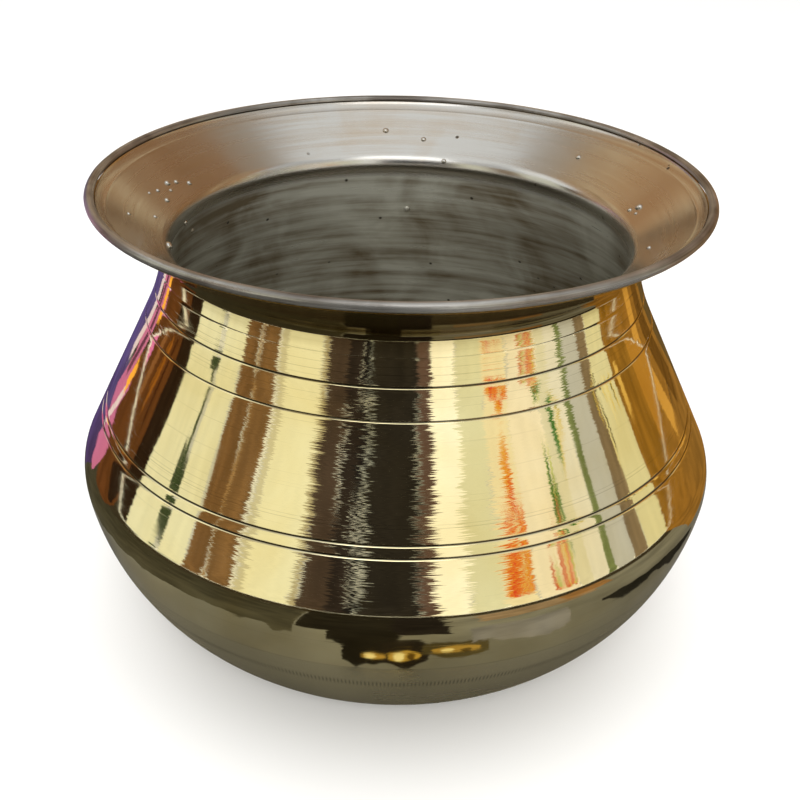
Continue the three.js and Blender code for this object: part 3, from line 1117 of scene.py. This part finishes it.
def makeCard(number, azimuth, width, low, high, colour, strength):
    # a strip of a large drum round the pot, with edges that waver as hanging cloth does
    distance = studio["cardDistance"] + studio["cardSpread"] - studio["cardStep"] * number
    wander = min(studio["cardWander"], width * 0.3)
    steps = max(2, round(width / 4))
    levels = max(2, round((high - low) / 0.02))
    rows = []
    for level in range(levels + 1):
        height = low + (high - low) * level / levels
        start = azimuth - width / 2 + wander * waver(number, height * 9)
        end = azimuth + width / 2 + wander * waver(number + 50, height * 9)
        turns = [start + (end - start) * step / steps for step in range(steps + 1)]
        rows.append([drumPoint(turn, distance, height) for turn in turns])
    makeCardMesh(f"studioCard{number}", rows, colour, strength)


def makeFloorCard(number, azimuth, width, inner, outer, colour, strength):
    steps = max(12, round(width / 1.5))
    lift = studio["floorStep"] * (number + 1) - 0.0009
    rows = []
    ragged = min(0.012, (outer - inner) * 0.3)
    for step in range(steps + 1):
        turn = azimuth - width / 2 + width * step / steps
        pinch = math.sin(math.pi * (0.1 + 0.8 * step / steps)) ** 0.6 if outer - inner < 0.05 else 1
        middle = (inner + outer) / 2
        near = middle - (middle - inner) * pinch + ragged * waver(number, turn / 9)
        far = middle + (outer - middle) * pinch + ragged * waver(number + 50, turn / 9)
        rows.append([drumPoint(turn, near, lift), drumPoint(turn, far, lift)])
    makeCardMesh(f"floorCard{number}", rows, colour, strength)


def reflectOnly(thing):
    thing.visible_camera = False
    thing.visible_diffuse = False
    thing.visible_shadow = False
    thing.visible_transmission = False


for number, card in enumerate(cards):
    makeCard(number, *card)


def hangGoods(sets, size):
    # one mesh of small pieces for every paint
    dice = random.Random(size["seed"])
    pieces = {}
    for start, end, low, high, count, paints in sets:
        for piece in range(count):
            width = dice.uniform(*size["width"])
            tall = dice.uniform(*size["height"])
            azimuth = dice.uniform(start, end)
            bottom = dice.uniform(low, max(low + 0.001, high - tall))
            distance = studio["cardDistance"] - dice.uniform(0.06, 0.09)
            pieces.setdefault(dice.choice(paints), []).append((azimuth, width, bottom, tall, distance))
    for paint, found in pieces.items():
        vertices = []
        faces = []
        for azimuth, width, bottom, tall, distance in found:
            first = len(vertices)
            lean = width * dice.uniform(-0.4, 0.4)
            vertices += [
                drumPoint(azimuth - width / 2, distance, bottom),
                drumPoint(azimuth + width * 0.35, distance, bottom - tall * 0.12),
                drumPoint(azimuth + width / 2 + lean, distance, bottom + tall * 0.5),
                drumPoint(azimuth + width * 0.2 + lean, distance, bottom + tall),
                drumPoint(azimuth - width * 0.4 + lean, distance, bottom + tall * 0.85),
            ]
            faces.append(tuple(range(first, first + 5)))
        makeCardFromFaces("hungGoods" + paint, vertices, faces, paint, 1.0)


def makeBackWall(wallStrips):
    dice = random.Random(wallStrips["seed"])
    number = 100
    for band in ("above", "upper", "lower"):
        start, end, low, high, strength = wallStrips[band]
        azimuth = start
        before = None
        while azimuth < end:
            width = min(dice.uniform(*wallStrips["stripWidth"]), end - azimuth)
            paint = dice.choice([shade for shade in wallStrips["paints"][band] if shade != before])
            makeCard(number, azimuth + width / 2, width + 0.8, low, high, paint, strength)
            azimuth += width
            before = paint
            number += 1


hangGoods(hungGoods, goodsSize)
makeBackWall(backWall)
for number, card in enumerate(floorCards):
    makeFloorCard(number, *card)


def layFlat(name, corners, look, height):
    # look is the name of a matte material, its roughness and two colours that it clouds between
    sheet = meshObject(name, corners, [tuple(range(len(corners)))])
    material, tree = newMaterial(look[0])
    place3d = addNode(tree, "ShaderNodeTexCoord")
    cloud = addNode(tree, "ShaderNodeTexNoise", {"Scale": 9.0, "Detail": 4.0},
                    {"Vector": place3d.outputs["Object"]})
    share = rangeOf(tree, cloud.outputs["Fac"], 0.35, 0.65, 0, 1)
    shade = mixColours(tree, share, look[2], look[3])
    shader = addNode(tree, "ShaderNodeBsdfPrincipled", {"Roughness": look[1]}, {"Base Color": shade})
    addNode(tree, "ShaderNodeOutputMaterial", {}, {"Surface": shader.outputs[0]})
    sheet.data.materials.append(material)
    sheet.location.z = height
    return sheet


half = studio["floorSize"] / 2
corners = [(-half, -half, 0), (half, -half, 0), (half, half, 0), (-half, half, 0)]
layFlat("studioFloor", corners, ("paperRoll", 0.9, studio["floor"], studio["floor"]), -0.0015)

corners = [drumPoint(360 * step / 96, studio["matRadius"], 0) for step in range(96)]
mat = layFlat("studioMat", corners, ("greyFelt", 1.0, studio["mat"], studio["matDark"]), -0.001)
reflectOnly(mat)

world = bpy.data.worlds.new("studioAir")
bpy.context.scene.world = world
world.use_nodes = True
background = world.node_tree.nodes["Background"]
background.inputs["Color"].default_value = hexColour(studio["air"])
background.inputs["Strength"].default_value = studio["airStrength"]


def softLight(name, stand, aim, size, power, glossy=False):
    data = bpy.data.lights.new(name, "AREA")
    data.shape = "RECTANGLE"
    data.size = size[0]
    data.size_y = size[1]
    data.energy = power
    light = bpy.data.objects.new(name, data)
    bpy.context.scene.collection.objects.link(light)
    light.location = stand
    direction = Vector(aim) - Vector(stand)
    light.rotation_euler = direction.to_track_quat("-Z", "Y").to_euler()
    light.visible_glossy = glossy


# only the overhead light shows in the metal
softLight("overheadSoft", (0, -0.10, 1.7), (0, 0, 0.1), (1.7, 1.1), 2.1, glossy=True)
softLight("frontFill", (0, -1.7, 1.25), (0, 0, 0.12), (1.2, 0.7), 30)
softLight("paperLight", (0, -0.2, 2.4), (0, 0, 0), (3.4, 3.4), 44)

cameraRig = {
    "lens": 55.844,              # on a 36 mm sensor
    "distance": 0.4055,          # from the middle of the rim
    "elevation": 18.466,
    "tiltBelowRim": 10.152,      # the view is centred below the rim
    "yaw": -0.142,
    "roll": 1.31,
    "rimHeight": 0.164,
}


def makeCamera(rig):
    data = bpy.data.cameras.new("potCamera")
    data.lens = rig["lens"]
    data.sensor_width = 36
    camera = bpy.data.objects.new("potCamera", data)
    bpy.context.scene.collection.objects.link(camera)
    elevation = rig["elevation"] * degree
    position = Vector((0, -rig["distance"] * math.cos(elevation),
                       rig["rimHeight"] + rig["distance"] * math.sin(elevation)))
    tilt = (90 - rig["elevation"] - rig["tiltBelowRim"]) * degree
    turn = Matrix.Rotation(rig["yaw"] * degree, 4, "Z") @ Matrix.Rotation(tilt, 4, "X")
    turn = turn @ Matrix.Rotation(rig["roll"] * degree, 4, "Z")
    camera.matrix_world = Matrix.Translation(position) @ turn
    bpy.context.scene.camera = camera


makeCamera(cameraRig)
bpy.context.scene.view_settings.view_transform = "Standard"
print("studio made")
